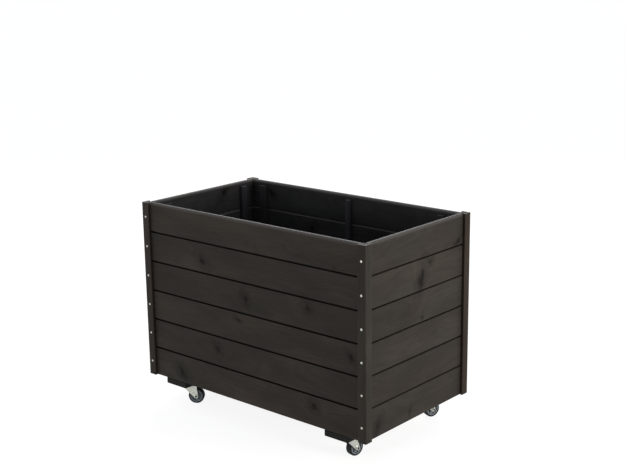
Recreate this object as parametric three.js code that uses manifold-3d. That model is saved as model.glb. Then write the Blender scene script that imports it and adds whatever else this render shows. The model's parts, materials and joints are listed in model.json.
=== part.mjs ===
// Raised planter box on four swivel casters.
//
// An open box of tongue-and-groove softwood boards stands on two cross beams, and each beam
// carries a caster near either end. All sizes are in millimetres. +X runs along the long side
// of the box, +Y towards its back and +Z up. The origin is on the ground, under the middle.

import * as THREE from 'three';
import { mergeVertices } from 'three/addons/utils/BufferGeometryUtils.js';
import Module from 'manifold-3d';

// ---- Driving dimensions ----------------------------------------------------------------

// Box walls
const boxLength = 870; // over the corner strips
const boxWidth = 490; // over the corner strips
const boardsPerWall = 6;
const boardCover = 93; // height that one board adds to its wall
const boardThickness = 18;
const boardArris = 1.2; // chamfer along the long edges of a board
const rimRadius = 8; // rounding along the top of the uppermost board

// Tongue-and-groove joint between two boards
const jointGap = 4; // open shadow gap between the faces
const tongueHeight = 9;
const tongueThickness = 6;
const tongueChamfer = 0.8;
const tongueSideClearance = 0.4;
const tongueTopClearance = 0.8;

// Corner strips: angle mouldings that wrap the corners of the box
const stripWidth = 28; // of each face
const stripThickness = 8;
const stripCornerRadius = 3; // along the outer corner
const stripEdge = 1.5;

// Battens inside the walls, which hold the boards of a wall together
const battenThickness = 13;
const endBattenWidth = 23;
const middleBattenWidth = 16;
const battenEdge = 1.5;
const battenCornerGap = 42; // from the inner corner of the box to the nearest batten
const battenTopDrop = 14; // from the rim down to the top of a batten
const middleBattenOffset = 6; // the middle batten stands a little to one side of the middle

// Floor boards
const floorBoardCount = 4;
const floorBoardThickness = 16;
const drainGap = 8;
const floorBoardEdge = 1.5;

// Cross beams under the box
const beamWidth = 84;
const beamThickness = 18;
const beamEdge = 2;

// Casters
const casterFromEnd = 112; // from the end of the box to the swivel axis
const casterFromSide = 62; // from the long side of the box to the swivel axis
const wheelRadius = 25;
const wheelTrail = 23.5; // from the swivel axis to the axle
const tyreWidth = 20;
const tyreShoulder = 3.5;
const tyreDepth = 5; // from the tread down to the seat on the rim
const rimWidth = 18;
const rimThickness = 3;
const webThickness = 5;
const hubRadius = 7.5;
const hubEdge = 0.8; // chamfer round the hub's ends and the rim's inner edges
const axleRadius = 3;
const axleClearance = 0.35;
const axleHeadHeight = 3.4;
const axleHeadAcrossFlats = 10;
const forkSideClearance = 1.6; // between the tyre and a leg
const forkSheet = 2;
const forkBossRadius = 6.5;
const crownRadius = 18;
const crownSkirt = 6; // depth of the crown's turned-down rim
const legFrontReach = 13.7; // from the swivel axis to the leading edge of a leg, at the crown
const legBackReach = 26; // and to its trailing edge
const crownClearance = 8.5; // between the tread and the underside of the crown
const crownBend = 3.5; // outer radius of the bend from the crown into a leg
const swivelGap = 0.4; // between the turning and the standing half of the swivel
const raceRadius = 16;
const raceHeight = 8;
const kingpinRadius = 4;
const kingpinHeadRadius = 7;
const kingpinHeadHeight = 2;
const raceEdge = 1; // chamfer on the race and the kingpin's head
const plateSide = 56;
const plateThickness = 2;
const plateCornerRadius = 7;
const plateSlotSpacing = 40; // between the slots' centres, both ways
const plateSlotRadius = 2.9;
const plateSlotLength = 9;

// How each caster has come to rest: the angle from +X to the way its wheel trails.
const casters = [
  { name: 'front_left', side: [-1, -1], heading: 35 },
  { name: 'front_right', side: [1, -1], heading: 80 },
  { name: 'back_left', side: [-1, 1], heading: 48 },
  { name: 'back_right', side: [1, 1], heading: 70 },
];

const fitGap = 0.3; // between pieces that are screwed or stacked on each other

// ---- Places that follow from the dimensions ----------------------------------------------

const wallHeight = boardsPerWall * boardCover - jointGap;
const longWallInner = boxWidth / 2 - stripThickness - fitGap - boardThickness;
const endWallInner = boxLength / 2 - stripThickness - fitGap - boardThickness;
const longWallLength = 2 * (endWallInner + boardThickness);
const endWallLength = 2 * (longWallInner - fitGap);
const casterX = boxLength / 2 - casterFromEnd;
const casterY = boxWidth / 2 - casterFromSide;

const crownBottom = 2 * wheelRadius + crownClearance;
const crownTop = crownBottom + forkSheet;
const raceBottom = crownTop + swivelGap;
const plateBottom = raceBottom + raceHeight;
const beamBottom = plateBottom + plateThickness + fitGap;
const boxBottom = beamBottom + beamThickness + fitGap;
const floorTop = boxBottom + floorBoardThickness;
const rimTop = boxBottom + wallHeight;

// ---- Materials ---------------------------------------------------------------------------

const stainedWood = new THREE.MeshStandardMaterial({ color: 0x35312e, roughness: 0.55, metalness: 0 });
const zincPlated = new THREE.MeshStandardMaterial({ color: 0xb9bbb2, roughness: 0.4, metalness: 0.9 });
const hubPlastic = new THREE.MeshStandardMaterial({ color: 0x727a82, roughness: 0.5, metalness: 0 });
const tyreRubber = new THREE.MeshStandardMaterial({ color: 0x1b1c1e, roughness: 0.8, metalness: 0 });

// ---- Solids ------------------------------------------------------------------------------

const wasm = await Module();
wasm.setup();

// A closed three.js geometry as a solid that can be cut and joined.
function toSolid(geometry) {
  const bare = geometry.clone();
  bare.deleteAttribute('normal');
  bare.deleteAttribute('uv');
  const merged = mergeVertices(bare, 1e-4);
  return new wasm.Manifold(new wasm.Mesh({
    numProp: 3,
    vertProperties: new Float32Array(merged.attributes.position.array),
    triVerts: new Uint32Array(merged.index.array),
  }));
}

function toGeometry(solid) {
  const mesh = solid.getMesh();
  const geometry = new THREE.BufferGeometry();
  geometry.setAttribute('position', new THREE.BufferAttribute(mesh.vertProperties, 3));
  geometry.setIndex(new THREE.BufferAttribute(mesh.triVerts, 1));
  geometry.computeVertexNormals();
  return geometry;
}

const alongX = new THREE.Vector3(1, 0, 0);
const alongY = new THREE.Vector3(0, 1, 0);
const alongZ = new THREE.Vector3(0, 0, 1);

// A shape drawn in Y and Z, extruded along X about the middle.
function extrudeAlongX(shape, length, curveSegments) {
  const geometry = new THREE.ExtrudeGeometry(shape, { depth: length, bevelEnabled: false, curveSegments });
  geometry.applyMatrix4(new THREE.Matrix4().makeBasis(alongY, alongZ, alongX));
  return geometry.translate(-length / 2, 0, 0);
}

// A shape drawn in X and Z, extruded along Y about the middle.
function extrudeAlongY(shape, length, curveSegments) {
  const geometry = new THREE.ExtrudeGeometry(shape, { depth: length, bevelEnabled: false, curveSegments });
  geometry.applyMatrix4(new THREE.Matrix4().makeBasis(alongX, alongZ, alongY.clone().negate()));
  return geometry.translate(0, length / 2, 0);
}

function roundedRectangle(width, depth, radius) {
  const shape = new THREE.Shape();
  const x = width / 2 - radius;
  const y = depth / 2 - radius;
  shape.absarc(x, y, radius, 0, Math.PI / 2);
  shape.absarc(-x, y, radius, Math.PI / 2, Math.PI);
  shape.absarc(-x, -y, radius, Math.PI, 1.5 * Math.PI);
  shape.absarc(x, -y, radius, 1.5 * Math.PI, 2 * Math.PI);
  return shape;
}

// A planed length of timber standing on z = 0: sizes along X, Y and Z. Its long edges are
// rounded to the given radius, and its ends are eased by half of that.
function timber(sizeX, sizeY, sizeZ, edge) {
  const ease = edge / 2;
  const geometry = new THREE.ExtrudeGeometry(roundedRectangle(sizeX, sizeY, edge), {
    depth: sizeZ - 2 * ease,
    bevelThickness: ease,
    bevelSize: ease,
    bevelOffset: -ease,
    bevelSegments: 1,
    curveSegments: 2,
  });
  return geometry.translate(0, 0, ease);
}

// ---- Boards ------------------------------------------------------------------------------

// The section of a wall board: its inner face lies on y = 0 and its lower edge on z = 0. Every
// board but the lowest has a groove along its lower edge, and every board but the uppermost
// has a tongue above its upper edge. The uppermost board is rounded off instead, as the rim.
function boardSection(hasGroove, hasTongue) {
  const middle = boardThickness / 2;
  const shoulder = boardCover - jointGap;
  const shape = new THREE.Shape();
  shape.moveTo(0, boardArris);
  shape.lineTo(boardArris, 0);
  if (hasGroove) {
    const grooveSide = tongueThickness / 2 + tongueSideClearance;
    const grooveDepth = tongueHeight - jointGap + tongueTopClearance;
    shape.lineTo(middle - grooveSide, 0);
    shape.lineTo(middle - grooveSide, grooveDepth);
    shape.lineTo(middle + grooveSide, grooveDepth);
    shape.lineTo(middle + grooveSide, 0);
  }
  shape.lineTo(boardThickness - boardArris, 0);
  shape.lineTo(boardThickness, boardArris);
  if (hasTongue) {
    const tongueTop = shoulder + tongueHeight;
    const tongueSide = tongueThickness / 2;
    shape.lineTo(boardThickness, shoulder - boardArris);
    shape.lineTo(boardThickness - boardArris, shoulder);
    shape.lineTo(middle + tongueSide, shoulder);
    shape.lineTo(middle + tongueSide, tongueTop - tongueChamfer);
    shape.lineTo(middle + tongueSide - tongueChamfer, tongueTop);
    shape.lineTo(middle - tongueSide + tongueChamfer, tongueTop);
    shape.lineTo(middle - tongueSide, tongueTop - tongueChamfer);
    shape.lineTo(middle - tongueSide, shoulder);
    shape.lineTo(boardArris, shoulder);
    shape.lineTo(0, shoulder - boardArris);
  } else {
    const top = shoulder - rimRadius;
    shape.absarc(boardThickness - rimRadius, top, rimRadius, 0, Math.PI / 2);
    shape.absarc(rimRadius, top, rimRadius, Math.PI / 2, Math.PI);
  }
  shape.closePath();
  return shape;
}

// One wall of boards, drawn as the back wall and turned about the upright axis to its side.
function makeWall(name, turn, innerFace, length) {
  const wall = new THREE.Group();
  wall.rotation.z = turn;
  for (let course = 0; course < boardsPerWall; course++) {
    const section = boardSection(course > 0, course < boardsPerWall - 1);
    const board = new THREE.Mesh(extrudeAlongX(section, length, 3), stainedWood);
    board.name = `${name}_board_${course + 1}`;
    board.position.set(0, innerFace, boxBottom + course * boardCover);
    wall.add(board);
  }
  return wall;
}

// The battens of one wall, turned with it. They stand on the floor boards, against its boards.
function makeBattens(name, turn, innerFace, places) {
  const battens = new THREE.Group();
  battens.rotation.z = turn;
  const bottom = floorTop + fitGap;
  const height = rimTop - battenTopDrop - bottom;
  for (const { label, along, width } of places) {
    const batten = new THREE.Mesh(timber(width, battenThickness, height, battenEdge), stainedWood);
    batten.name = `${name}_batten_${label}`;
    batten.position.set(along, innerFace - fitGap - battenThickness / 2, bottom);
    battens.add(batten);
  }
  return battens;
}

function makeWalls() {
  const walls = new THREE.Group();
  const longBattenPlace = endWallInner - battenCornerGap - endBattenWidth / 2;
  const shortBattenPlace = longWallInner - battenCornerGap - endBattenWidth / 2;
  // The labels name the battens at the -X and +X ends of a wall before it is turned.
  const sides = [
    { name: 'back', turn: 0, labels: ['left', 'right'] },
    { name: 'front', turn: Math.PI, labels: ['right', 'left'] },
    { name: 'left', turn: Math.PI / 2, labels: ['front', 'back'] },
    { name: 'right', turn: -Math.PI / 2, labels: ['back', 'front'] },
  ];
  for (const { name, turn, labels } of sides) {
    const isLong = name === 'back' || name === 'front';
    const innerFace = isLong ? longWallInner : endWallInner;
    const endPlace = isLong ? longBattenPlace : shortBattenPlace;
    const places = [
      { label: labels[0], along: -endPlace, width: endBattenWidth },
      { label: labels[1], along: endPlace, width: endBattenWidth },
    ];
    if (isLong) {
      places.push({ label: 'middle', along: middleBattenOffset, width: middleBattenWidth });
    }
    walls.add(makeWall(name, turn, innerFace, isLong ? longWallLength : endWallLength));
    walls.add(makeBattens(name, turn, innerFace, places));
  }
  return walls;
}

// The section of a corner strip, drawn for the +X +Y corner of the box with its outer corner at
// the origin: two legs at right angles, each with an eased free edge.
function cornerStripSection() {
  const shape = new THREE.Shape();
  shape.absarc(-stripCornerRadius, -stripCornerRadius, stripCornerRadius, 0, Math.PI / 2);
  shape.absarc(stripEdge - stripWidth, -stripEdge, stripEdge, Math.PI / 2, Math.PI);
  shape.lineTo(-stripWidth, -stripThickness);
  shape.lineTo(-stripThickness, -stripThickness);
  shape.lineTo(-stripThickness, -stripWidth);
  shape.absarc(-stripEdge, stripEdge - stripWidth, stripEdge, 1.5 * Math.PI, 2 * Math.PI);
  shape.closePath();
  return shape;
}

// A strip wraps each corner over the full height of the boards. Its leg across the long wall is
// screwed to the boards, and its other leg covers their ends.
function makeCornerStrips() {
  const strips = new THREE.Group();
  const quarterTurns = { back_right: 0, back_left: 1, front_left: 2, front_right: 3 };
  for (const { name, side } of casters) {
    const geometry = new THREE.ExtrudeGeometry(cornerStripSection(), {
      depth: wallHeight,
      bevelEnabled: false,
      curveSegments: 3,
    });
    const strip = new THREE.Mesh(geometry, stainedWood);
    strip.name = `corner_strip_${name}`;
    strip.rotation.z = quarterTurns[name] * Math.PI / 2;
    strip.position.set(side[0] * boxLength / 2, side[1] * boxWidth / 2, boxBottom);
    strips.add(strip);
  }
  return strips;
}

// ---- Floor and beams -----------------------------------------------------------------------

// The floor boards lie along the box on the two beams, with gaps that let water out.
function makeFloor() {
  const floor = new THREE.Group();
  const length = 2 * (endWallInner - fitGap);
  const width = 2 * (longWallInner - fitGap);
  const boardWidth = (width - (floorBoardCount - 1) * drainGap) / floorBoardCount;
  for (let i = 0; i < floorBoardCount; i++) {
    const board = new THREE.Mesh(
      timber(length, boardWidth, floorBoardThickness, floorBoardEdge),
      stainedWood,
    );
    board.name = `floor_board_${i + 1}`;
    board.position.set(0, (boardWidth - width) / 2 + i * (boardWidth + drainGap), boxBottom);
    floor.add(board);
  }
  return floor;
}

// Each beam runs from front to back under the walls, flush with their outer faces.
function makeBeams() {
  const beams = new THREE.Group();
  const length = 2 * (longWallInner + boardThickness);
  for (const [name, side] of [['left', -1], ['right', 1]]) {
    const beam = new THREE.Mesh(timber(beamWidth, length, beamThickness, beamEdge), stainedWood);
    beam.name = `cross_beam_${name}`;
    beam.position.set(side * casterX, 0, beamBottom);
    beams.add(beam);
  }
  return beams;
}

// ---- Casters -------------------------------------------------------------------------------

// A caster is drawn on its swivel axis, with its wheel trailing towards +X.

function lathe(points, segments) {
  return new THREE.LatheGeometry(points.map(([r, along]) => new THREE.Vector2(r, along)), segments);
}

// A round profile of radius and height, turned about the upright swivel axis.
function turnUpright(points, segments) {
  return lathe(points, segments).rotateX(Math.PI / 2);
}

// The top plate is pressed sheet with four slots. The upper half of the ball race and the
// riveted kingpin, which carries the fork, are fixed to it.
function casterPlate() {
  const outline = roundedRectangle(plateSide, plateSide, plateCornerRadius);
  const reach = plateSlotLength / 2 - plateSlotRadius;
  for (const x of [-plateSlotSpacing / 2, plateSlotSpacing / 2]) {
    for (const y of [-plateSlotSpacing / 2, plateSlotSpacing / 2]) {
      const slot = new THREE.Path();
      slot.absarc(x + reach, y, plateSlotRadius, -Math.PI / 2, Math.PI / 2);
      slot.absarc(x - reach, y, plateSlotRadius, Math.PI / 2, 1.5 * Math.PI);
      slot.closePath();
      outline.holes.push(slot);
    }
  }
  const sheet = new THREE.ExtrudeGeometry(outline, {
    depth: plateThickness,
    bevelEnabled: false,
    curveSegments: 2,
  }).translate(0, 0, plateBottom);
  const headTop = crownBottom - swivelGap;
  const headBottom = headTop - kingpinHeadHeight;
  const race = turnUpright([
    [0, headBottom],
    [kingpinHeadRadius - raceEdge, headBottom],
    [kingpinHeadRadius, headBottom + raceEdge],
    [kingpinHeadRadius, headTop],
    [kingpinRadius, headTop],
    [kingpinRadius, raceBottom],
    [raceRadius - raceEdge, raceBottom],
    [raceRadius, raceBottom + raceEdge],
    [raceRadius, plateBottom + plateThickness / 2],
    [0, plateBottom + plateThickness / 2],
  ], 20);
  return toGeometry(toSolid(sheet).add(toSolid(race)));
}

// Where the line from a point touches a circle, on its left or right as seen from the point.
function tangentAngle(point, centre, radius, side) {
  const away = new THREE.Vector2(point[0] - centre[0], point[1] - centre[1]);
  return away.angle() + side * Math.acos(radius / away.length());
}

// The fork is one pressing: a crown with a turned-down rim, bent down on both sides into legs
// that taper to the axle. The axle bolt and its nut are drawn with it.
function casterFork() {
  const inner = tyreWidth / 2 + forkSideClearance;
  const outer = inner + forkSheet;
  const innerBend = crownBend - forkSheet;
  const axle = [wheelTrail, wheelRadius];

  // The bent sheet seen along the trail: two legs joined by the flat of the crown
  const bent = new THREE.Shape();
  bent.moveTo(-outer, 0);
  bent.lineTo(-inner, 0);
  bent.absarc(innerBend - inner, crownBottom - innerBend, innerBend, Math.PI, Math.PI / 2, true);
  bent.absarc(inner - innerBend, crownBottom - innerBend, innerBend, Math.PI / 2, 0, true);
  bent.lineTo(inner, 0);
  bent.lineTo(outer, 0);
  bent.absarc(outer - crownBend, crownTop - crownBend, crownBend, 0, Math.PI / 2);
  bent.absarc(crownBend - outer, crownTop - crownBend, crownBend, Math.PI / 2, Math.PI);
  bent.closePath();

  // The legs seen from the side: from the crown they taper to a round boss at the axle
  const skirtBottom = crownTop - crownSkirt;
  const leading = [-legFrontReach, skirtBottom];
  const trailing = [legBackReach, skirtBottom];
  const above = crownTop + forkSheet;
  const legs = new THREE.Shape();
  legs.moveTo(leading[0], above);
  legs.lineTo(leading[0], leading[1]);
  legs.absarc(axle[0], axle[1], forkBossRadius,
    tangentAngle(leading, axle, forkBossRadius, 1), tangentAngle(trailing, axle, forkBossRadius, -1));
  legs.lineTo(trailing[0], trailing[1]);
  legs.lineTo(trailing[0], above);
  legs.closePath();

  const skirtInner = crownRadius - forkSheet;
  const crown = turnUpright([
    [kingpinRadius, crownBottom],
    [skirtInner - innerBend, crownBottom],
    [skirtInner, crownBottom - innerBend],
    [skirtInner, skirtBottom],
    [crownRadius, skirtBottom],
    [crownRadius, crownTop - innerBend],
    [crownRadius - innerBend, crownTop],
    [kingpinRadius, crownTop],
    [kingpinRadius, crownBottom],
  ], 24);
  const holeRadius = kingpinRadius + swivelGap;
  const kingpinHole = new THREE.CylinderGeometry(holeRadius, holeRadius, 4 * forkSheet, 16)
    .rotateX(Math.PI / 2)
    .translate(0, 0, crownBottom);

  const headRadius = axleHeadAcrossFlats / 2 / Math.cos(Math.PI / 6);
  const shaft = new THREE.CylinderGeometry(axleRadius, axleRadius, 2 * outer + axleHeadHeight, 16);
  const heads = [-1, 1].map((side) => (
    new THREE.CylinderGeometry(headRadius, headRadius, axleHeadHeight, 6)
      .translate(0, side * (outer + axleHeadHeight / 2), 0)
  ));

  const stockLength = 2 * (wheelTrail + forkBossRadius + crownRadius);
  let fork = toSolid(extrudeAlongX(bent, stockLength, 2));
  fork = fork.intersect(toSolid(extrudeAlongY(legs, 4 * outer, 6)));
  fork = fork.add(toSolid(crown)).subtract(toSolid(kingpinHole));
  for (const bolt of [shaft, ...heads]) {
    fork = fork.add(toSolid(bolt.translate(axle[0], 0, axle[1])));
  }
  return toGeometry(fork);
}

// The wheel core: a hub that turns on the axle, a thin web and a flat rim.
function wheelCore() {
  const bore = axleRadius + axleClearance;
  const rimOuter = wheelRadius - tyreDepth - fitGap;
  const rimInner = rimOuter - rimThickness;
  const hubEnd = tyreWidth / 2 + forkSideClearance - swivelGap;
  const halfRim = rimWidth / 2;
  const halfWeb = webThickness / 2;
  return lathe([
    [bore, -hubEnd],
    [hubRadius - hubEdge, -hubEnd],
    [hubRadius, hubEdge - hubEnd],
    [hubRadius, -halfWeb],
    [rimInner, -halfWeb],
    [rimInner, hubEdge - halfRim],
    [rimInner + hubEdge, -halfRim],
    [rimOuter, -halfRim],
    [rimOuter, halfRim],
    [rimInner + hubEdge, halfRim],
    [rimInner, halfRim - hubEdge],
    [rimInner, halfWeb],
    [hubRadius, halfWeb],
    [hubRadius, hubEnd - hubEdge],
    [hubRadius - hubEdge, hubEnd],
    [bore, hubEnd],
    [bore, -hubEnd],
  ], 20);
}

// The tyre is moulded round the rim, with rounded shoulders.
function tyre() {
  const seat = wheelRadius - tyreDepth;
  const half = tyreWidth / 2;
  const steps = 2;
  const shoulders = [];
  for (let i = 0; i <= steps; i++) {
    const angle = (i / steps - 1) * Math.PI / 2;
    shoulders.push([
      wheelRadius - tyreShoulder + tyreShoulder * Math.cos(angle),
      tyreShoulder - half + tyreShoulder * Math.sin(angle),
    ]);
  }
  const mirrored = shoulders.map(([r, along]) => [r, -along]).reverse();
  return lathe([[seat, -half], ...shoulders, ...mirrored, [seat, half], [seat, -half]], 32);
}

function makeCasters() {
  const group = new THREE.Group();
  const pieces = [
    ['plate', casterPlate(), zincPlated],
    ['fork', casterFork(), zincPlated],
    ['wheel', wheelCore().translate(wheelTrail, 0, wheelRadius), hubPlastic],
    ['tyre', tyre().translate(wheelTrail, 0, wheelRadius), tyreRubber],
  ];
  for (const { name, side, heading } of casters) {
    const caster = new THREE.Group();
    caster.position.set(side[0] * casterX, side[1] * casterY, 0);
    const turning = new THREE.Group();
    turning.rotation.z = THREE.MathUtils.degToRad(heading);
    caster.add(turning);
    for (const [piece, geometry, material] of pieces) {
      const mesh = new THREE.Mesh(geometry, material);
      mesh.name = `caster_${name}_${piece}`;
      (piece === 'plate' ? caster : turning).add(mesh);
    }
    group.add(caster);
  }
  return group;
}

// ---- Assembly ------------------------------------------------------------------------------

const planter = new THREE.Group();
planter.add(makeWalls(), makeCornerStrips(), makeFloor(), makeBeams(), makeCasters());

export default planter;
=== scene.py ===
"""The looks of a raised planter box on four swivel casters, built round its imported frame.

Lengths are in metres and patterns are drawn in millimetres. +X runs along the long side of
the box, +Y towards its back and +Z up, and the box stands on Z = 0.
"""

import json
import math
import random

import bmesh
import bpy
from mathutils import Matrix, Vector


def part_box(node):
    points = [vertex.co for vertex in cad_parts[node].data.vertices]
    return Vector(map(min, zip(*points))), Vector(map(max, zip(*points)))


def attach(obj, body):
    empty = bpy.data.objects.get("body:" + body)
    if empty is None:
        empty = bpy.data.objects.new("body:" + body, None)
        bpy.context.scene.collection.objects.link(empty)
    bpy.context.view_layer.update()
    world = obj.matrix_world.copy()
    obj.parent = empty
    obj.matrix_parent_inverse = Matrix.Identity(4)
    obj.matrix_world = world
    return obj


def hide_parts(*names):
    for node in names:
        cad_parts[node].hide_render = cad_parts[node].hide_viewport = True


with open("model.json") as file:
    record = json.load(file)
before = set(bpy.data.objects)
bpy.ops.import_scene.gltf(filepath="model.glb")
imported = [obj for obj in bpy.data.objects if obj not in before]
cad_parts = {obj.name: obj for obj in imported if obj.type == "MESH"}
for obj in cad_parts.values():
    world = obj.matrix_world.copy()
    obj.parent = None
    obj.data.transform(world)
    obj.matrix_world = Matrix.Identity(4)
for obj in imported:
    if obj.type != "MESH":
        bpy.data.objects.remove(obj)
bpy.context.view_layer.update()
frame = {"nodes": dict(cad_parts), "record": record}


# ---- Camera --------------------------------------------------------------------------------
# A lens of about 67 mm looks down on the front right corner of the box.

camera = bpy.data.objects.new("camera", bpy.data.cameras.new("camera"))
bpy.context.collection.objects.link(camera)
camera.data.lens = 67.35
heading = Matrix.Rotation(math.radians(41.05), 4, "Z")
tilt = Matrix.Rotation(math.radians(90 - 13.95), 4, "X")
roll = Matrix.Rotation(math.radians(-0.78), 4, "Z")
camera.location = (2.249, -2.535, 1.402)
camera.rotation_euler = (heading @ tilt @ roll).to_euler()
bpy.context.scene.camera = camera
bpy.context.scene.view_settings.view_transform = "Standard"


# ---- Wall boards ---------------------------------------------------------------------------
# Planed softwood boards, tongued and grooved, six to a wall, under a dark grey-brown stain.
# They are laid on edge from the bottom up, and the uppermost is rounded off as the rim.

MILLIMETRE = 0.001
QUARTER = math.pi / 2
BOARDS_PER_WALL = 6
BOARD_COVER = 93  # height that one board adds to its wall, in millimetres
BOARD_FACE = 89  # height of its face, without the joint above it
HALF_JOINT = (BOARD_COVER - BOARD_FACE) / 2
WALL_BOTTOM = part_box("front_board_1")[0].z / MILLIMETRE
RIM_HEIGHT = (BOARDS_PER_WALL - 1) * BOARD_COVER + BOARD_FACE  # above the foot of the wall
RIM_ROUNDING = 9  # height of the rounded part of the rim
RING_SPACING = 3.6
courses = range(1, BOARDS_PER_WALL + 1)


def linear(hex_colour):
    """An sRGB colour such as "3c3835" as the linear colour that a shader takes."""
    channels = [int(hex_colour[i : i + 2], 16) / 255 for i in (0, 2, 4)]
    return [c / 12.92 if c <= 0.04045 else ((c + 0.055) / 1.055) ** 2.4 for c in channels] + [1]


def add(tree, kind, inputs=None, stops=(), **settings):
    """Adds a node with its settings and links. An input takes a value, an output, or a node for its
    first output in use, and stops are the (place, hex colour) points of a colour ramp. Inputs 0, 6
    and 7 of a mix of colours are its share, its first colour and its second."""
    node = tree.nodes.new("ShaderNode" + kind)
    for name, value in settings.items():
        setattr(node, name, value)
    for key, value in (inputs or {}).items():
        if isinstance(value, bpy.types.Node):
            value = next(output for output in value.outputs if output.enabled)
        if isinstance(value, bpy.types.NodeSocket):
            tree.links.new(value, node.inputs[key])
        else:
            node.inputs[key].default_value = value
    for index, (place, colour) in enumerate(stops):
        points = node.color_ramp.elements
        point = points[index] if index < 2 else points.new(place)
        point.position = place
        point.color = linear(colour)
    return node


def new_material(name, turn=(0, 0, 0)):
    """A material with its node tree, its shader and its turned object coordinates in millimetres."""
    material = bpy.data.materials.new(name)
    material.use_nodes = True
    tree = material.node_tree
    metres = add(tree, "TexCoord").outputs["Object"]
    place = add(tree, "Mapping", {"Vector": metres, "Rotation": turn, "Scale": [1 / MILLIMETRE] * 3})
    return material, tree, tree.nodes["Principled BSDF"], place


def knot_distance(tree, grain, place, knots):
    """Distance to the nearest knot, in its half widths, smooth and with a ragged edge."""
    nearest = 9  # where no knot is near
    speck_size, raggedness = 18, 4
    for along, up, half_length, half_width, tilt in knots:
        knot = add(
            tree,
            "Mapping",
            {
                "Vector": grain,
                "Location": (along, 0, WALL_BOTTOM + up),
                "Rotation": (0, -math.radians(tilt), 0),
                "Scale": (half_length, 10000, half_width),
            },
            vector_type="TEXTURE",
        )
        distance = add(tree, "VectorMath", {0: knot}, operation="LENGTH")
        nearest = add(tree, "Math", {0: nearest, 1: distance}, operation="MINIMUM")
    speck = add(tree, "TexNoise", {"Vector": place, "Scale": 1 / speck_size, "Detail": 4})
    ragged = add(tree, "Math", {0: speck, 1: raggedness, 2: nearest}, operation="MULTIPLY_ADD")
    ragged = add(tree, "Math", {0: ragged, 1: raggedness / 2}, operation="SUBTRACT")
    return nearest, ragged


def growth_rings(tree, depth, across, chances, place, nearest):
    """Growth rings round a pith behind the board, which wanders and swells at knots, from 0 in the
    pale early wood to 1 in the dense late wood. Lengths are in millimetres."""
    pith_depth, depth_spread, side_spread = 36, 44, 90  # of the pith, from board to board
    aside_sway, ring_sway = 60, 26
    knot_swell, knot_reach = 14, 0.84
    sway = add(tree, "Mapping", {"Vector": place, "Scale": (1 / 260, 1 / 80, 1 / 80)})
    sway = add(tree, "TexNoise", {"Vector": sway, "Scale": 1, "Detail": 1})
    behind = {0: chances.outputs["X"], 1: depth_spread, 2: pith_depth}
    behind = add(tree, "Math", behind, operation="MULTIPLY_ADD")
    behind = add(tree, "Math", {0: depth, 1: behind}, operation="ADD")
    aside = {0: chances.outputs["Y"], 1: -side_spread, 2: across}
    aside = add(tree, "Math", aside, operation="MULTIPLY_ADD")
    aside = add(tree, "Math", {0: sway, 1: aside_sway, 2: aside}, operation="MULTIPLY_ADD")
    radius = add(tree, "CombineXYZ", {"X": behind, "Y": aside})
    radius = add(tree, "VectorMath", {0: radius}, operation="LENGTH")
    radius = add(tree, "Math", {0: sway, 1: ring_sway, 2: radius}, operation="MULTIPLY_ADD")
    swell = add(tree, "Math", {0: nearest, 1: nearest}, operation="MULTIPLY")
    swell = add(tree, "Math", {0: knot_reach, 1: swell}, operation="POWER")
    radius = add(tree, "Math", {0: swell, 1: knot_swell, 2: radius}, operation="MULTIPLY_ADD")
    rings = add(tree, "Math", {0: radius, 1: 2 * math.pi / RING_SPACING}, operation="MULTIPLY")
    rings = add(tree, "Math", {0: rings}, operation="SINE")
    rings = add(tree, "Math", {0: rings, 1: 0.5, 2: 0.5}, operation="MULTIPLY_ADD")
    return add(tree, "Math", {0: rings, 1: 2.5}, operation="POWER")


def wall_painted_light_and_shade(tree, colour, depth, across, above, wall_middle, joint_shade_spill):
    """Light and shade painted onto a wall: painted shade that makes the inside faces colder and darker,
    painted shade in the joints, which reaches past their edges by a given spill, and a painted
    highlight on the rim and along the inner top arris of each board."""
    depth = add(tree, "Math", {0: depth}, operation="ABSOLUTE")
    inside = add(tree, "Math", {0: depth, 1: wall_middle}, operation="LESS_THAN")
    # Painted shade: the inside faces of the wall are tinted colder and darker
    inside_shade = {0: inside, 6: colour, 7: linear("d8e6ff")}
    colour = add(tree, "Mix", inside_shade, data_type="RGBA", blend_type="MULTIPLY")

    # Painted shade in the joints between the boards, which reaches over the arrises by the spill
    joint = add(tree, "Math", {0: across, 1: HALF_JOINT}, operation="ADD")
    joint = add(tree, "Math", {0: joint, 1: BOARD_COVER / 2}, operation="PINGPONG")
    joint = add(tree, "Math", {0: joint, 1: HALF_JOINT + joint_shade_spill}, operation="LESS_THAN")
    below = add(tree, "Math", {0: above, 1: RIM_HEIGHT - RIM_ROUNDING}, operation="LESS_THAN")
    joint = add(tree, "Math", {0: joint, 1: below}, operation="MULTIPLY")
    joint_shade = {0: joint, 6: colour, 7: linear("403c3a")}
    colour = add(tree, "Mix", joint_shade, data_type="RGBA", blend_type="MULTIPLY")

    # Painted highlight: the inner top arris of each board and the rounded rim are mixed paler
    edge = {"Value": across, "From Min": BOARD_FACE - 3, "From Max": BOARD_FACE - 2, "To Max": 0.6}
    edge = add(tree, "Math", {0: add(tree, "MapRange", edge), 1: inside}, operation="MULTIPLY")
    rim = {"Value": above, "From Min": RIM_HEIGHT - RIM_ROUNDING, "From Max": RIM_HEIGHT - 2, "To Max": 0.6}
    painted_highlight = add(tree, "Math", {0: edge, 1: add(tree, "MapRange", rim)}, operation="MAXIMUM")
    return add(tree, "Mix", {0: painted_highlight, 6: colour, 7: linear("585450")}, data_type="RGBA")


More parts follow.
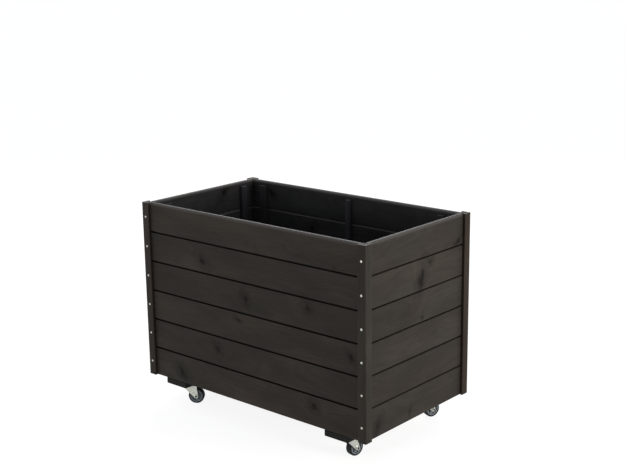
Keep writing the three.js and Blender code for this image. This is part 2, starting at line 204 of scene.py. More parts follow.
def stained_wood(name, turn, seed, stain, knots=(), wall_middle=0, joint_shade_spill=0):
    """Planed softwood under a thin dark stain. The eye gets long flames of growth rings on the faces
    and arcs on the ends, fine fibres along the grain, a stain that drifts from brown to olive, and
    dark ragged knots that the rings swell round. turn brings the grain to X and the height of a
    board to Z, and a knot is (along, height above the wall's foot, half length, half width, tilt).
    A wall, whose middle plane lies at a depth, has a tone to each board, and its painted light and shade."""
    material, tree, shader, grain = new_material(name, turn)
    axes = add(tree, "SeparateXYZ", {"Vector": grain})
    across, number = axes.outputs["Z"], seed
    if wall_middle:
        above = add(tree, "Math", {0: across, 1: WALL_BOTTOM}, operation="SUBTRACT")
        course = add(tree, "Math", {0: above, 1: BOARD_COVER}, operation="DIVIDE")
        course = add(tree, "Math", {0: course}, operation="FLOOR")
        number = add(tree, "Math", {0: course, 1: seed}, operation="ADD")
        across = add(tree, "Math", {0: above, 1: BOARD_COVER}, operation="FLOORED_MODULO")
    chance = add(tree, "TexWhiteNoise", {"W": number}, noise_dimensions="1D").outputs["Color"]
    chances = add(tree, "SeparateXYZ", {"Vector": chance})
    shift = add(tree, "VectorMath", {0: chance, "Scale": 900}, operation="SCALE")
    place = add(tree, "VectorMath", {0: grain, 1: shift}, operation="ADD")
    nearest, ragged = knot_distance(tree, grain, place, knots)
    rings = growth_rings(tree, axes.outputs["Y"], across, chances, place, nearest)

    # Fibres 1.1 mm wide and 70 mm long, patches of 60 by 200 mm where the stain has taken unevenly,
    # and a drift of its hue over 240 by 400 mm. Each board and each ring has a little tone too.
    fibre = add(tree, "Mapping", {"Vector": place, "Scale": (1 / 70, 1 / 1.1, 1 / 1.1)})
    fibre = add(tree, "TexNoise", {"Vector": fibre, "Scale": 1, "Detail": 3})
    patch = add(tree, "Mapping", {"Vector": place, "Scale": (1 / 200, 1 / 60, 1 / 60)})
    patch = add(tree, "TexNoise", {"Vector": patch, "Scale": 1, "Detail": 3})
    drift = add(tree, "Mapping", {"Vector": place, "Scale": (1 / 400, 1 / 240, 1 / 240)})
    drift = add(tree, "TexNoise", {"Vector": drift, "Scale": 1, "Detail": 1})
    tone = add(tree, "Math", {0: fibre, 1: 0.4}, operation="MULTIPLY")
    tone = add(tree, "Math", {0: patch, 1: 0.6, 2: tone}, operation="MULTIPLY_ADD")
    tone = add(tree, "Math", {0: rings, 1: -0.07, 2: tone}, operation="MULTIPLY_ADD")
    tone = add(tree, "Math", {0: chances.outputs["Z"], 1: 0.1, 2: tone}, operation="MULTIPLY_ADD")
    halo = add(tree, "MapRange", {"Value": ragged, "From Min": 3.8, "From Max": 0.8, "To Max": -0.3})
    tone = add(tree, "Math", {0: tone, 1: halo}, operation="ADD")

    darkest, middling, lightest = stain
    brown = add(tree, "ValToRGB", {"Fac": tone}, [(0.1, darkest), (0.9, lightest), (0.5, middling)])
    olive = add(tree, "HueSaturation", {"Hue": 0.525, "Saturation": 0.9, "Value": 0.94, "Color": brown})
    share = add(tree, "MapRange", {"Value": drift, "From Min": 0.4, "From Max": 0.6})
    wood = add(tree, "Mix", {0: share, 6: brown, 7: olive}, data_type="RGBA")
    heart = add(tree, "ValToRGB", {"Fac": ragged}, [(0.2, "080503"), (1.0, "19120c"), (0.6, "0f0a06")])
    core = add(tree, "MapRange", {"Value": ragged, "From Min": 1.5, "From Max": 0.5, "To Max": 0.94})
    colour = add(tree, "Mix", {0: core, 6: wood, 7: heart}, data_type="RGBA")
    if wall_middle:
        colour = wall_painted_light_and_shade(tree, colour, axes.outputs["Y"], across, above, wall_middle, joint_shade_spill)

    relief = add(tree, "Math", {0: rings, 1: -0.6, 2: fibre}, operation="MULTIPLY_ADD")
    bump = add(tree, "Bump", {"Strength": 0.5, "Distance": 0.12 * MILLIMETRE, "Height": relief})
    gloss = add(tree, "MapRange", {"Value": tone, "To Min": 0.56, "To Max": 0.44})
    tree.links.new(colour.outputs[2], shader.inputs["Base Color"])
    tree.links.new(gloss.outputs[0], shader.inputs["Roughness"])
    tree.links.new(bump.outputs[0], shader.inputs["Normal"])
    shader.inputs["Specular IOR Level"].default_value = 0.08
    return material


def dress(nodes, material):
    """Puts a material in the slots of CAD nodes."""
    for node in nodes:
        for place in frame["nodes"][node].material_slots:
            place.material = material


wall_stain = ("1d1915", "2d2722", "413933")
front_knots = [
    (-186, 408, 13, 8, -31),
    (-12, 325, 12, 8, -58),
    (228, 343, 11, 7, -35),
    (-45, 254, 7, 4, -10),
    (-132, 148, 10, 7, -55),
    (378, 234, 9, 6, -38),
    (-292, 34, 17, 9, -31),
    (246, 59, 10, 9, 0),
    (322, 472, 3, 3, 0),
]
right_knots = [
    (14, 404, 24, 9, 72),
    (58, 445, 7, 6, 30),
    (22, 291, 3, 3, 0),
    (-181, 31, 14, 6, 62),
    (-33, 28, 8, 3, 75),
    (190, 475, 11, 5, 30),
]
rng = random.Random(4)


def scattered(number, reach):
    """Knots at random along the boards of a wall, one to each board in turn."""
    return [
        (
            rng.uniform(-reach, reach),
            (n % BOARDS_PER_WALL + rng.uniform(0.25, 0.75)) * BOARD_COVER,
            rng.uniform(6, 15),
            rng.uniform(4, 8),
            rng.uniform(-60, 60),
        )
        for n in range(number)
    ]


# The painted shade in the joints reaches past their edges on the long walls, and not on the end walls
for wall, turn, seed, knots, joint_shade_spill in (
    ("front", 0, 3, front_knots, 0.65),
    ("back", 0, 23, scattered(10, 390), 0.65),
    ("left", -QUARTER, 41, scattered(6, 200), 0),
    ("right", -QUARTER, 67, right_knots, 0),
):
    name = f"stained boards of the {wall} wall"
    low, high = (abs(corner[0 if turn else 1]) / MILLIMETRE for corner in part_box(f"{wall}_board_1"))
    boards = stained_wood(name, (0, 0, turn), seed, wall_stain, knots, (low + high) / 2, joint_shade_spill)
    dress([f"{wall}_board_{course}" for course in courses], boards)


# ---- Corner strips -------------------------------------------------------------------------
# Softwood angle mouldings, stained like the boards, one round each corner of the box. They are
# cut square, rounded along their edges, and drilled and countersunk for a screw to each board.

STRIP_WIDTH = 0.028
STRIP_THICKNESS = 0.008
STRIP_RADII = (0.003, 0.0015)  # of the outer corner and of the free edges
SCREW_FROM_CORNER = 0.0145
HEAD_RADIUS = 0.0034  # of the strips' screws
COUNTERSINK_RIM = HEAD_RADIUS + 0.0006
COUNTERSINK_FOOT = 0.0017
COUNTERSINK_DEPTH = 0.0032
DRILL_RADIUS = 0.0018
DRILL_DEPTH = 0.020
PROUD = 0.0004  # how far the countersink's cutter stands out of the face
TINY = 1e-6  # places closer than this are one
corners = ("front_left", "front_right", "back_left", "back_right")


def begin_edit(piece):
    """Opens one object's mesh for editing."""
    bpy.ops.object.select_all(action="DESELECT")
    piece.select_set(True)
    bpy.context.view_layer.objects.active = piece
    bpy.ops.object.mode_set(mode="EDIT")


def end_edit(angle=30):
    """Merges doubles, turns the normals outwards, and shades the mesh smooth up to an angle."""
    bpy.ops.mesh.select_all(action="SELECT")
    bpy.ops.mesh.remove_doubles(threshold=TINY)
    bpy.ops.mesh.normals_make_consistent(inside=False)
    bpy.ops.object.mode_set(mode="OBJECT")
    bpy.ops.object.shade_smooth_by_angle(angle=math.radians(angle))


def heal(piece, angle=30):
    """Does the same to a mesh that isn't open for editing, after it was cut or copied."""
    begin_edit(piece)
    end_edit(angle)


def pick(kind, test):
    """Selects only those faces, edges or vertices of the open mesh that pass a test."""
    bpy.ops.mesh.select_mode(type=kind)
    bpy.ops.mesh.select_all(action="DESELECT")
    mesh = bmesh.from_edit_mesh(bpy.context.object.data)
    for item in {"FACE": mesh.faces, "EDGE": mesh.edges, "VERT": mesh.verts}[kind]:
        if test(item):
            item.select_set(True)
    mesh.select_flush_mode()
    bmesh.update_edit_mesh(bpy.context.object.data)


def middle_of(item):
    """The middle of an edge or a face."""
    return sum((vertex.co for vertex in item.verts), Vector()) / len(item.verts)


def cube(name, low, high):
    """A box between two corners, named, with its origin at the world's."""
    low, high = Vector(low), Vector(high)
    bpy.ops.mesh.primitive_cube_add(size=1, location=(low + high) / 2, scale=high - low)
    bpy.ops.object.transform_apply()
    bpy.context.object.name = name
    return bpy.context.object


def cylinder(name, radius, low, high, vertices, top_radius=None):
    """An upright cylinder or cone about the Z axis between two heights."""
    bpy.ops.mesh.primitive_cone_add(
        vertices=vertices,
        radius1=radius,
        radius2=radius if top_radius is None else top_radius,
        depth=high - low,
        location=(0, 0, (low + high) / 2),
    )
    bpy.ops.object.transform_apply()
    bpy.context.object.name = name
    return bpy.context.object


def copied(piece, name, placing):
    """A copy of a piece with its own mesh, placed by a matrix that may mirror it."""
    twin = bpy.data.objects.new(name, piece.data.copy())
    twin.data.transform(placing)
    if placing.determinant() < 0:
        twin.data.flip_normals()
    bpy.context.collection.objects.link(twin)
    return twin


def cut(piece, cutter):
    """Cuts one solid from another and removes the cutter."""
    bpy.ops.object.select_all(action="DESELECT")
    bpy.context.view_layer.objects.active = piece
    piece.select_set(True)
    modifier = piece.modifiers.new("cut", "BOOLEAN")
    modifier.operation = "DIFFERENCE"
    modifier.solver = "EXACT"
    modifier.object = cutter
    bpy.ops.object.modifier_apply(modifier="cut")
    bpy.data.objects.remove(cutter)


def settle(piece, material, body, slot, *replaced):
    """Gives a finished piece its material and its body, and hides the CAD nodes it stands for. The slot is
    not used.
    """
    piece.data.materials.clear()
    piece.data.materials.append(material)
    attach(piece, body)
    if replaced:
        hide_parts(*replaced)


def upright_at(x, y):
    """A test for the long upright edges at a place."""
    return lambda edge: (
        abs(middle_of(edge).x - x) < TINY
        and abs(middle_of(edge).y - y) < TINY
        and edge.calc_length() > 0.1
    )


strip_low, strip_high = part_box("corner_strip_back_right")
free_x, inner_x = strip_high.x - STRIP_WIDTH, strip_high.x - STRIP_THICKNESS
free_y = strip_high.y - STRIP_WIDTH
strip = cube(
    "corner_strip_back_right_drilled",
    (free_x, strip_high.y - STRIP_THICKNESS, strip_low.z),
    strip_high,
)
begin_edit(strip)
bpy.ops.mesh.select_all(action="SELECT")
bpy.ops.mesh.bisect(plane_co=(inner_x, 0, 0), plane_no=(1, 0, 0))
pick("FACE", lambda face: face.normal.y < -0.9 and middle_of(face).x > inner_x)
bpy.ops.mesh.extrude_region_move(
    TRANSFORM_OT_translate={"value": (0, STRIP_THICKNESS - STRIP_WIDTH, 0)}
)
pick("EDGE", upright_at(strip_high.x, strip_high.y))
bpy.ops.mesh.bevel(offset=STRIP_RADII[0], segments=5, affect="EDGES")
for x, y in ((free_x, strip_high.y), (strip_high.x, free_y)):
    pick("EDGE", upright_at(x, y))
    bpy.ops.mesh.bevel(offset=STRIP_RADII[1], segments=4, affect="EDGES")
end_edit()
screw_x = strip_high.x - SCREW_FROM_CORNER
screw_heights = [
    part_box(f"front_board_{course}")[0].z + BOARD_FACE * MILLIMETRE / 2 for course in courses
]
for height in screw_heights:
    countersink = cylinder(
        "countersink",
        COUNTERSINK_FOOT,
        -COUNTERSINK_DEPTH,
        PROUD,
        vertices=24,
        top_radius=COUNTERSINK_RIM,
    )
    drill = cylinder("drill", DRILL_RADIUS, -DRILL_DEPTH, 0, vertices=12)
    for cutter in (countersink, drill):
        cutter.data.transform(Matrix.Rotation(-QUARTER, 4, "X"))
        cutter.data.transform(Matrix.Translation((screw_x, strip_high.y, height)))
        cut(strip, cutter)
heal(strip)

# The strips at the back get a browner, darker copy of the stain, which paints the shade at the far end of
# the box
lit_and_shaded_strip_stains = {"front": wall_stain, "back": ("1c1611", "2b221b", "3b3027")}
lit_and_shaded_strip_woods = {
    end: stained_wood(f"stained {end} strips, grain upright", (0, QUARTER, 0), 5, stain)
    for end, stain in lit_and_shaded_strip_stains.items()
}
mirror_x = Matrix.Scale(-1, 4, (1, 0, 0))
mirror_y = Matrix.Scale(-1, 4, (0, 1, 0))
strips = {"back_right": strip}
for corner, placing in (
    ("front_left", mirror_x @ mirror_y),
    ("front_right", mirror_y),
    ("back_left", mirror_x),
):
    strips[corner] = copied(strip, f"corner_strip_{corner}_drilled", placing)
for corner, piece in strips.items():
    end = corner.split("_")[0]
    settle(piece, lit_and_shaded_strip_woods[end], "box", "stained_wood", f"corner_strip_{corner}")


# ---- Strip screws --------------------------------------------------------------------------
# Zinc-plated countersunk wood screws with a cross recess, driven flush through each strip into
# the middle of every board's face.

SCREW_LENGTH = 0.012  # of the shank
CORE_RADIUS = 0.0017
HEAD_EDGE = 0.0005  # height of the head's straight edge
HEAD_TAPER = 0.0020  # height of the cone under it
HEAD_ROUNDING = 0.00025
RECESS_DEPTH = 0.0014
RECESS_ARM = 0.0019
ARM_SHARE = 0.24  # of an arm's reach, as its half width
ARM_BOTTOM = (0.45, 0.7)  # shares of an arm's reach and width that are left at its bottom
SUNK = 0.0001  # how far a head lies under the strip's face


def zinc_plated(name, dull, bright):
    """Bright zinc over pressed or turned steel. The eye gets a cool pale metal with a faint
    cloudiness, whose soft blur mirrors the surroundings without a clear picture of them."""
    material, tree, shader, place = new_material(name)
    cloud = add(tree, "TexNoise", {"Vector": place, "Scale": 1 / 4, "Detail": 3})
    grain = add(tree, "TexNoise", {"Vector": place, "Scale": 2.5, "Detail": 2})
    colour = add(tree, "ValToRGB", {"Fac": cloud}, [(0.3, dull), (0.7, bright)])
    blur = add(tree, "MapRange", {"Value": cloud, "To Min": 0.2, "To Max": 0.38})
    bump = add(tree, "Bump", {"Strength": 0.3, "Distance": 0.04 * MILLIMETRE, "Height": grain})
    tree.links.new(colour.outputs[0], shader.inputs["Base Color"])
    tree.links.new(blur.outputs[0], shader.inputs["Roughness"])
    tree.links.new(bump.outputs[0], shader.inputs["Normal"])
    shader.inputs["Metallic"].default_value = 1
    return material


def looks_down(face):
    """Whether a face looks down."""
    return face.normal.z < -0.9


def top_edge(height):
    """A test for the edges round the top of a piece, whose height is given."""
    return lambda edge: min(vertex.co.z for vertex in edge.verts) > height - TINY


def cross_recess(piece, face_height, arm):
    """Cuts a cross recess that narrows downwards into a screw head whose face is at a height."""
    reach_left, width_left = ARM_BOTTOM
    for x, y, bottom in (
        (arm, arm * ARM_SHARE, (reach_left, width_left, 1)),
        (arm * ARM_SHARE, arm, (width_left, reach_left, 1)),
    ):
        bar = cube("bar", (-x, -y, face_height - RECESS_DEPTH), (x, y, face_height + MILLIMETRE))
        begin_edit(bar)
        pick("FACE", looks_down)
        bpy.ops.transform.resize(value=bottom)
        end_edit()
        cut(piece, bar)


screw = cylinder("strip_screw", HEAD_RADIUS, -HEAD_EDGE, 0, vertices=32)
begin_edit(screw)
pick("FACE", looks_down)
bpy.ops.mesh.extrude_region_move(TRANSFORM_OT_translate={"value": (0, 0, -HEAD_TAPER)})
bpy.ops.transform.resize(value=[CORE_RADIUS / HEAD_RADIUS] * 2 + [1])
bpy.ops.mesh.extrude_region_move(TRANSFORM_OT_translate={"value": (0, 0, -SCREW_LENGTH)})
pick("EDGE", top_edge(0))
bpy.ops.mesh.bevel(offset=HEAD_ROUNDING, segments=2, affect="EDGES")
end_edit()
cross_recess(screw, 0, RECESS_ARM)
heal(screw)

screw_zinc = zinc_plated("bright zinc of the screws", "b3b4ac", "d8d9d1")
rng = random.Random(11)
for corner in corners:
    side_x = 1 if "right" in corner else -1
    side_y = 1 if "back" in corner else -1
    for number, height in enumerate(screw_heights, 1):
        sunk = Matrix.Translation((side_x * screw_x, side_y * (strip_high.y - SUNK), height))
        facing = Matrix.Rotation(-side_y * QUARTER, 4, "X")
        turned = Matrix.Rotation(rng.uniform(0, QUARTER), 4, "Z")
        piece = copied(screw, f"strip_screw_{corner}_{number}", sunk @ facing @ turned)
        settle(piece, screw_zinc, "box", "zinc_plate")
bpy.data.objects.remove(screw)


# ---- Battens -------------------------------------------------------------------------------
# Planed softwood laths inside the walls, stained darker and colder than the walls as painted shade,
# like the inside faces of the boards. They stand on the floor and hold the boards of a wall together.

# A darker, colder stain than the walls': painted shade inside the box
batten_stain_with_painted_shade = ("151416", "272628", "454346")
batten_wood = stained_wood("stained battens, grain upright", (0, QUARTER, 0), 9, batten_stain_with_painted_shade)
dress([node for node in frame["nodes"] if "_batten_" in node], batten_wood)


# ---- Floor boards --------------------------------------------------------------------------
# Four planed softwood boards, stained darker than the walls as painted shade inside the box, laid
# side by side on the cross beams with gaps that let water out.

# A darker stain than the walls': painted shade inside the box
floor_stain_with_painted_shade = ("131214", "1e1d1f", "2d2c2e")
floor_wood = stained_wood(
    "stained floor boards, grain along the box", (QUARTER, 0, 0), 13, floor_stain_with_painted_shade
)
dress([node for node in frame["nodes"] if node.startswith("floor_board_")], floor_wood)


# ---- Cross beams ---------------------------------------------------------------------------
# Two planed softwood planks, fixed flat under the box from front to back, whose end grain shows
# under the front wall. Their stain is darker than the walls' as painted shade under the box.

# A darker stain than the walls': painted shade under the box
beam_stain_with_painted_shade = ("11100e", "1a1917", "282724")
beam_wood = stained_wood(
    "stained cross beams, grain across the box", (QUARTER, QUARTER, 0), 17, beam_stain_with_painted_shade
)
dress([node for node in frame["nodes"] if node.startswith("cross_beam_")], beam_wood)


# ---- Caster plates -------------------------------------------------------------------------
# Pressed steel, zinc-plated: a square top plate with four slots for its screws, the standing
# half of the ball race, and the riveted kingpin that the fork turns on.

PRESSED_EDGE = 0.0003  # rounding that pressing and plating leave on a sheet's edges


def eased(node, name):
    """A copy of a CAD node, merged, with its sharp edges rounded as a pressing's are."""
    piece = copied(frame["nodes"][node], name, Matrix())
    heal(piece)
    rounding = piece.modifiers.new("rounding", "BEVEL")
    rounding.width = PRESSED_EDGE
    rounding.segments = 2
    rounding.angle_limit = math.radians(40)
    bpy.ops.object.modifier_apply(modifier="rounding")
    heal(piece, 35)
    return piece


caster_zinc = zinc_plated("zinc plate of the casters", "a3a59c", "c9cbc1")
for corner in corners:
    piece = eased(f"caster_{corner}_plate", f"plate_{corner}")
    settle(piece, caster_zinc, "box", "zinc_plate", f"caster_{corner}_plate")


# ---- Caster forks --------------------------------------------------------------------------
# One steel pressing, zinc-plated: a round crown with a turned-down rim, bent down into two legs.
# The axle bolt goes through them, with a socket in its head and a lock nut on its other end.

AXLE_END = 0.0170  # from the middle of the wheel to the end of the bolt
AXLE_HOLLOW = (0.0034, 0.0018)  # radius and depth
joints = {joint["name"]: joint for joint in frame["record"]["behaviour"]["joints"]}


def wheel_place(corner):
    """Brings a piece drawn about the Z axis to the axle of a caster."""
    roll_joint = joints[f"{corner}_roll"]
    turned = Vector(roll_joint["axis"]).to_track_quat("Z", "Y").to_matrix().to_4x4()
    return Matrix.Translation(roll_joint["pos_m"]) @ turned


for corner in corners:
    piece = eased(f"caster_{corner}_fork", f"fork_{corner}")
    for side in (-1, 1):
        radius, depth = AXLE_HOLLOW
        ends = sorted((side * (AXLE_END - depth), side * (AXLE_END + depth)))
        hollow = cylinder("hollow", radius, *ends, vertices=20)
        hollow.data.transform(wheel_place(corner))
        cut(piece, hollow)
    settle(piece, caster_zinc, f"fork_{corner}", "zinc_plate", f"caster_{corner}_fork")


# ---- Axle inserts --------------------------------------------------------------------------
# Black rings at the ends of the axle bolts: the nylon ring of the lock nut on one side, and on the
# other a black ring in the socket of the bolt's head, which is painted shade in the socket.

INSERT_RADIUS = 0.00335
INSERT_HOLE = 0.0017
INSERT_BACK, INSERT_FRONT = 0.01525, 0.0163  # from the middle of the wheel
INSERT_RECESS = 0.0006  # depth of its hole
INSERT_ROUNDING = 0.0002

insert = cylinder("axle_insert", INSERT_RADIUS, INSERT_BACK, INSERT_FRONT, vertices=28)
begin_edit(insert)
pick("FACE", lambda face: face.normal.z > 0.9)
bpy.ops.mesh.inset(thickness=INSERT_RADIUS - INSERT_HOLE)
bpy.ops.mesh.extrude_region_move(TRANSFORM_OT_translate={"value": (0, 0, -INSERT_RECESS)})
pick("EDGE", top_edge(INSERT_FRONT))
bpy.ops.mesh.bevel(offset=INSERT_ROUNDING, segments=2, affect="EDGES")
end_edit()


def nylon(name):
    """Black nylon. The eye gets a satin black with a soft grain that turning has left."""
    material, tree, shader, place = new_material(name)
    grain = add(tree, "TexNoise", {"Vector": place, "Scale": 1.2, "Detail": 2})
    colour = add(tree, "ValToRGB", {"Fac": grain}, [(0.3, "0d0e10"), (0.7, "17191c")])
    blur = add(tree, "MapRange", {"Value": grain, "To Min": 0.35, "To Max": 0.55})
    tree.links.new(colour.outputs[0], shader.inputs["Base Color"])
    tree.links.new(blur.outputs[0], shader.inputs["Roughness"])
    shader.inputs["Specular IOR Level"].default_value = 0.3
    return material


nylon_and_socket_shade = nylon("black nylon of the lock nuts")
# The nut's nylon ring on one side, and on the other a black ring that paints the shade in the bolt's socket
for corner in corners:
    for side, turned in (("near", Matrix()), ("far", Matrix.Rotation(math.pi, 4, "X"))):
        piece = copied(insert, f"axle_insert_{corner}_{side}", wheel_place(corner) @ turned)
        settle(piece, nylon_and_socket_shade, f"fork_{corner}", "wheel_hub")
bpy.data.objects.remove(insert)


# ---- Caster tyres --------------------------------------------------------------------------
# Black rubber, moulded round the wheel, with rounded shoulders and the fine ridge that the two
# halves of the mould leave round the middle of the tread.

WHEEL_RADIUS = 0.025
TYRE_WIDTH = 0.020
TYRE_DEPTH = 0.005
SHOULDER = 0.0035
RIDGE = 0.00012  # height of the mould's ridge
RIDGE_HALF_WIDTH = 0.0004
NEAR = 0.0003  # how close to a radius a picked edge or face lies


def level(edge):
    """Whether an edge is level, so that it runs round its piece."""
    return abs(edge.verts[0].co.z - edge.verts[1].co.z) < TINY


tyre = cylinder("tyre", WHEEL_RADIUS - RIDGE, -TYRE_WIDTH / 2, TYRE_WIDTH / 2, vertices=64)
begin_edit(tyre)
pick("FACE", lambda face: abs(face.normal.z) > 0.9)
bpy.ops.mesh.inset(thickness=TYRE_DEPTH)
bpy.ops.mesh.delete(type="FACE")
pick("EDGE", lambda edge: middle_of(edge).xy.length < WHEEL_RADIUS - TYRE_DEPTH + NEAR)
bpy.ops.mesh.bridge_edge_loops()
pick(
    "EDGE",
    lambda edge: level(edge)
    and min(vertex.co.xy.length for vertex in edge.verts) > WHEEL_RADIUS - NEAR,
)
bpy.ops.mesh.bevel(offset=SHOULDER, segments=6, affect="EDGES")
for height in (-RIDGE_HALF_WIDTH, RIDGE_HALF_WIDTH):
    bpy.ops.mesh.select_all(action="SELECT")
    bpy.ops.mesh.bisect(plane_co=(0, 0, height), plane_no=(0, 0, 1))
pick(
    "FACE",
    lambda face: abs(middle_of(face).z) < RIDGE_HALF_WIDTH / 2
    and middle_of(face).xy.length > WHEEL_RADIUS - NEAR,
)
bpy.ops.mesh.extrude_region_shrink_fatten(TRANSFORM_OT_shrink_fatten={"value": RIDGE})
end_edit(40)


def rubber(name):
    """Black rubber, moulded. The eye gets a matt skin with a fine grain and a patchy paler bloom."""
    material, tree, shader, place = new_material(name)
    bloom = add(tree, "TexNoise", {"Vector": place, "Scale": 1 / 9, "Detail": 4})
    grain = add(tree, "TexNoise", {"Vector": place, "Scale": 1.6, "Detail": 2})
    colour = add(tree, "ValToRGB", {"Fac": bloom}, [(0.35, "0b0c0d"), (0.75, "1b1c1e")])
    blur = add(tree, "MapRange", {"Value": bloom, "To Min": 0.45, "To Max": 0.65})
    bump = add(tree, "Bump", {"Strength": 0.4, "Distance": 0.08 * MILLIMETRE, "Height": grain})
    tree.links.new(colour.outputs[0], shader.inputs["Base Color"])
    tree.links.new(blur.outputs[0], shader.inputs["Roughness"])
    tree.links.new(bump.outputs[0], shader.inputs["Normal"])
    shader.inputs["Specular IOR Level"].default_value = 0.14
    return material


tyre_rubber = rubber("dark rubber of the tyres")
for corner in corners:
    piece = copied(tyre, f"tyre_{corner}", wheel_place(corner))
    settle(piece, tyre_rubber, f"wheel_{corner}", "wheel_tyre", f"caster_{corner}_tyre")
bpy.data.objects.remove(tyre)


# ---- Wheel centres -------------------------------------------------------------------------
# Grey moulded plastic: a flat rim under the tyre, a thin web with ribs, and a hub that turns on
# the axle bolt between the legs of the fork.

SEAT_GAP = 0.0003  # between pieces that are seated on each other
RIM_RADIUS = WHEEL_RADIUS - TYRE_DEPTH - SEAT_GAP
RIM_HALF_WIDTH = 0.009
RIM_THICKNESS = 0.003
WEB_HALF_WIDTH = 0.0025
HUB_RADIUS = 0.0075
HUB_END = 0.0112
BORE_RADIUS = 0.00335
BORE_REACH = 0.02  # well past both ends of the hub
MOULDED_EDGE = 0.0005
RIB_COUNT = 6
RIB_HALF_WIDTH = 0.0007
RIB_TOP = 0.0070
SINK = 0.0004  # how far a rib reaches into what it joins

wheel = cylinder("wheel", RIM_RADIUS, -RIM_HALF_WIDTH, RIM_HALF_WIDTH, vertices=64)
begin_edit(wheel)
for side in (-1, 1):
    recess, boss = WEB_HALF_WIDTH - RIM_HALF_WIDTH, HUB_END - WEB_HALF_WIDTH
    # The round end is the only face with more than four corners
    pick("FACE", lambda face: face.normal.z * side > 0.9 and len(face.verts) > 4)
    bpy.ops.mesh.inset(thickness=RIM_THICKNESS)
    bpy.ops.mesh.extrude_region_move(TRANSFORM_OT_translate={"value": (0, 0, side * recess)})
    bpy.ops.mesh.inset(thickness=RIM_RADIUS - RIM_THICKNESS - HUB_RADIUS)
    bpy.ops.mesh.extrude_region_move(TRANSFORM_OT_translate={"value": (0, 0, side * boss)})
pick(
    "EDGE",
    lambda edge: level(edge)
    and abs(edge.verts[0].co.xy.length - edge.verts[1].co.xy.length) < TINY
    and abs(middle_of(edge).z) > RIM_HALF_WIDTH - TINY,
)
bpy.ops.mesh.bevel(offset=MOULDED_EDGE, segments=2, affect="EDGES")
end_edit()
bore = cylinder("bore", BORE_RADIUS, -BORE_REACH, BORE_REACH, vertices=32)
cut(wheel, bore)
heal(wheel)
ribs = []
for number in range(RIB_COUNT):
    for side in (-1, 1):
        near, far = sorted((side * (WEB_HALF_WIDTH - SINK), side * RIB_TOP))
        rib = cube(
            "rib",
            (HUB_RADIUS - SINK, -RIB_HALF_WIDTH, near),
            (RIM_RADIUS - RIM_THICKNESS + SINK, RIB_HALF_WIDTH, far),
        )
        rib.data.transform(Matrix.Rotation(2 * math.pi * number / RIB_COUNT, 4, "Z"))
        ribs.append(rib)
bpy.ops.object.select_all(action="DESELECT")
for piece in (wheel, *ribs):
    piece.select_set(True)
bpy.context.view_layer.objects.active = wheel
bpy.ops.object.join()


def moulded_plastic(name):
    """Grey polypropylene, injection-moulded. The eye gets a satin skin with a very fine grain
    and a slightly cloudy colour."""
    material, tree, shader, place = new_material(name)
    cloud = add(tree, "TexNoise", {"Vector": place, "Scale": 1 / 7, "Detail": 3})
    grain = add(tree, "TexNoise", {"Vector": place, "Scale": 2, "Detail": 2})
    colour = add(tree, "ValToRGB", {"Fac": cloud}, [(0.3, "6c7275"), (0.7, "858c8f")])
    blur = add(tree, "MapRange", {"Value": cloud, "To Min": 0.35, "To Max": 0.5})
    bump = add(tree, "Bump", {"Strength": 0.3, "Distance": 0.05 * MILLIMETRE, "Height": grain})
    tree.links.new(colour.outputs[0], shader.inputs["Base Color"])
    tree.links.new(blur.outputs[0], shader.inputs["Roughness"])
    tree.links.new(bump.outputs[0], shader.inputs["Normal"])
    shader.inputs["Specular IOR Level"].default_value = 0.35
    return material


wheel_plastic = moulded_plastic("grey plastic of the wheel centres")
for corner in corners:
    piece = copied(wheel, f"wheel_centre_{corner}", wheel_place(corner))
    settle(piece, wheel_plastic, f"wheel_{corner}", "wheel_hub", f"caster_{corner}_wheel")
bpy.data.objects.remove(wheel)


# ---- Plate screws --------------------------------------------------------------------------
# Zinc-plated pan-head wood screws through the slots of each caster plate, up into its beam.

PLATE_THICKNESS = 0.002
SLOT_FROM_AXIS = 0.020
PAN_RADIUS = 0.0042
PAN_HEIGHT = 0.0022
PAN_ROUNDING = 0.0014
PAN_CORE_RADIUS = 0.0021
PAN_ARM = 0.0021  # of its cross recess
plate_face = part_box("cross_beam_right")[0].z - SEAT_GAP - PLATE_THICKNESS

pan_screw = cylinder("plate_screw", PAN_RADIUS, 0, PAN_HEIGHT, vertices=32)
begin_edit(pan_screw)
pick("EDGE", top_edge(PAN_HEIGHT))
bpy.ops.mesh.bevel(offset=PAN_ROUNDING, segments=5, affect="EDGES")
pick("FACE", looks_down)
bpy.ops.mesh.inset(thickness=PAN_RADIUS - PAN_CORE_RADIUS)
bpy.ops.mesh.extrude_region_move(TRANSFORM_OT_translate={"value": (0, 0, -SCREW_LENGTH)})
end_edit()
cross_recess(pan_screw, PAN_HEIGHT, PAN_ARM)
heal(pan_screw)
slots = [(x, y) for x in (-SLOT_FROM_AXIS, SLOT_FROM_AXIS) for y in (-SLOT_FROM_AXIS, SLOT_FROM_AXIS)]
for corner in corners:
    swivel = Vector(joints[f"{corner}_swivel"]["pos_m"])
    for number, (x, y) in enumerate(slots, 1):
        place = Matrix.Translation((swivel.x + x, swivel.y + y, plate_face))
        downwards = Matrix.Rotation(math.pi, 4, "X")
        turned = Matrix.Rotation(rng.uniform(0, QUARTER), 4, "Z")
        piece = copied(pan_screw, f"plate_screw_{corner}_{number}", place @ downwards @ turned)
        settle(piece, screw_zinc, "box", "zinc_plate")
bpy.data.objects.remove(pan_screw)


# ---- Studio --------------------------------------------------------------------------------
# A white floor and surround, and three soft lamps: one above and behind, which lights the rim and
# the floor, one to the right, so that the end wall is lighter, and a weaker one to the front.

PAPER_GLOW = 1.46  # brightness of the floor where it is seen plainly


def seen_plainly(tree):
    """One for the rays from the camera, a mirror or glass, which see the studio's own white, and
    nought for those that carry light to the object."""
    path = add(tree, "LightPath").outputs
    both = add(tree, "Math", {0: path["Is Camera Ray"], 1: path["Is Glossy Ray"]}, operation="MAXIMUM")
    return add(tree, "Math", {0: both, 1: path["Is Transmission Ray"]}, operation="MAXIMUM")


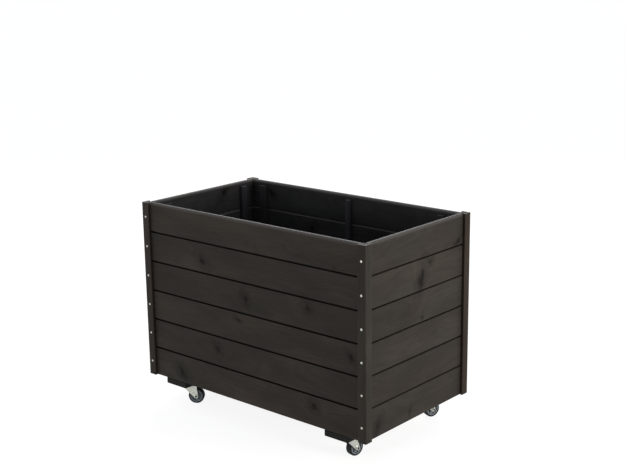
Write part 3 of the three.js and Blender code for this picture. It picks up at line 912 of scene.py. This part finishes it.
def white_stage(name, shadow_share):
    """White paper. Seen plainly it is mostly its own white, so that the eye gets a white ground
    with only a soft shadow of the object on it."""
    material, tree, shader, place = new_material(name)
    tooth = add(tree, "TexNoise", {"Vector": place, "Scale": 1 / 40, "Detail": 2})
    paper = add(tree, "ValToRGB", {"Fac": tooth}, [(0.3, "c4c1ba"), (0.7, "c9c6c0")])
    tree.links.new(paper.outputs[0], shader.inputs["Base Color"])
    shader.inputs["Roughness"].default_value = 1
    shader.inputs["Specular IOR Level"].default_value = 0
    glow = add(tree, "Emission", {"Strength": PAPER_GLOW})
    share = add(tree, "Math", {0: seen_plainly(tree), 1: 1 - shadow_share}, operation="MULTIPLY")
    mixed = add(tree, "MixShader", {0: share, 1: shader, 2: glow})
    tree.links.new(mixed.outputs[0], tree.nodes["Material Output"].inputs["Surface"])
    return material


bpy.ops.mesh.primitive_plane_add(size=60, location=(0, 0, 0))
bpy.ops.object.transform_apply()
ground = bpy.context.object
ground.name = "studio_floor"
ground.data.materials.append(white_stage("white paper floor", 0.4))

world = bpy.data.worlds.new("studio")
bpy.context.scene.world = world
world.use_nodes = True
sky = world.node_tree
dim = add(sky, "Background", {"Color": linear("dfe7f2"), "Strength": 0.72})
white = add(sky, "Background", {"Color": (1, 1, 1, 1), "Strength": 1})
both = add(sky, "MixShader", {0: seen_plainly(sky), 1: dim, 2: white})
sky.links.new(both.outputs[0], sky.nodes["World Output"].inputs["Surface"])


def lamp(name, place, target, size, watts, spread=180):
    """A soft square lamp that faces a point and isn't seen itself."""
    light = bpy.data.lights.new(name, "AREA")
    light.size = size
    light.energy = watts
    light.spread = math.radians(spread)
    holder = bpy.data.objects.new(name, light)
    holder.location = place
    holder.rotation_euler = (Vector(target) - Vector(place)).to_track_quat("-Z", "Y").to_euler()
    holder.visible_camera = False
    bpy.context.collection.objects.link(holder)


lamp("behind", (-1.9, 2.4, 2.4), (0, 0, 0.6), 2.4, 60)
lamp("right_side", (2.5, 0.3, 0.8), (0.43, 0, 0.6), 0.7, 7, 70)
lamp("front_side", (-0.5, -3.2, 0.9), (0, -0.24, 0.5), 0.8, 4, 70)
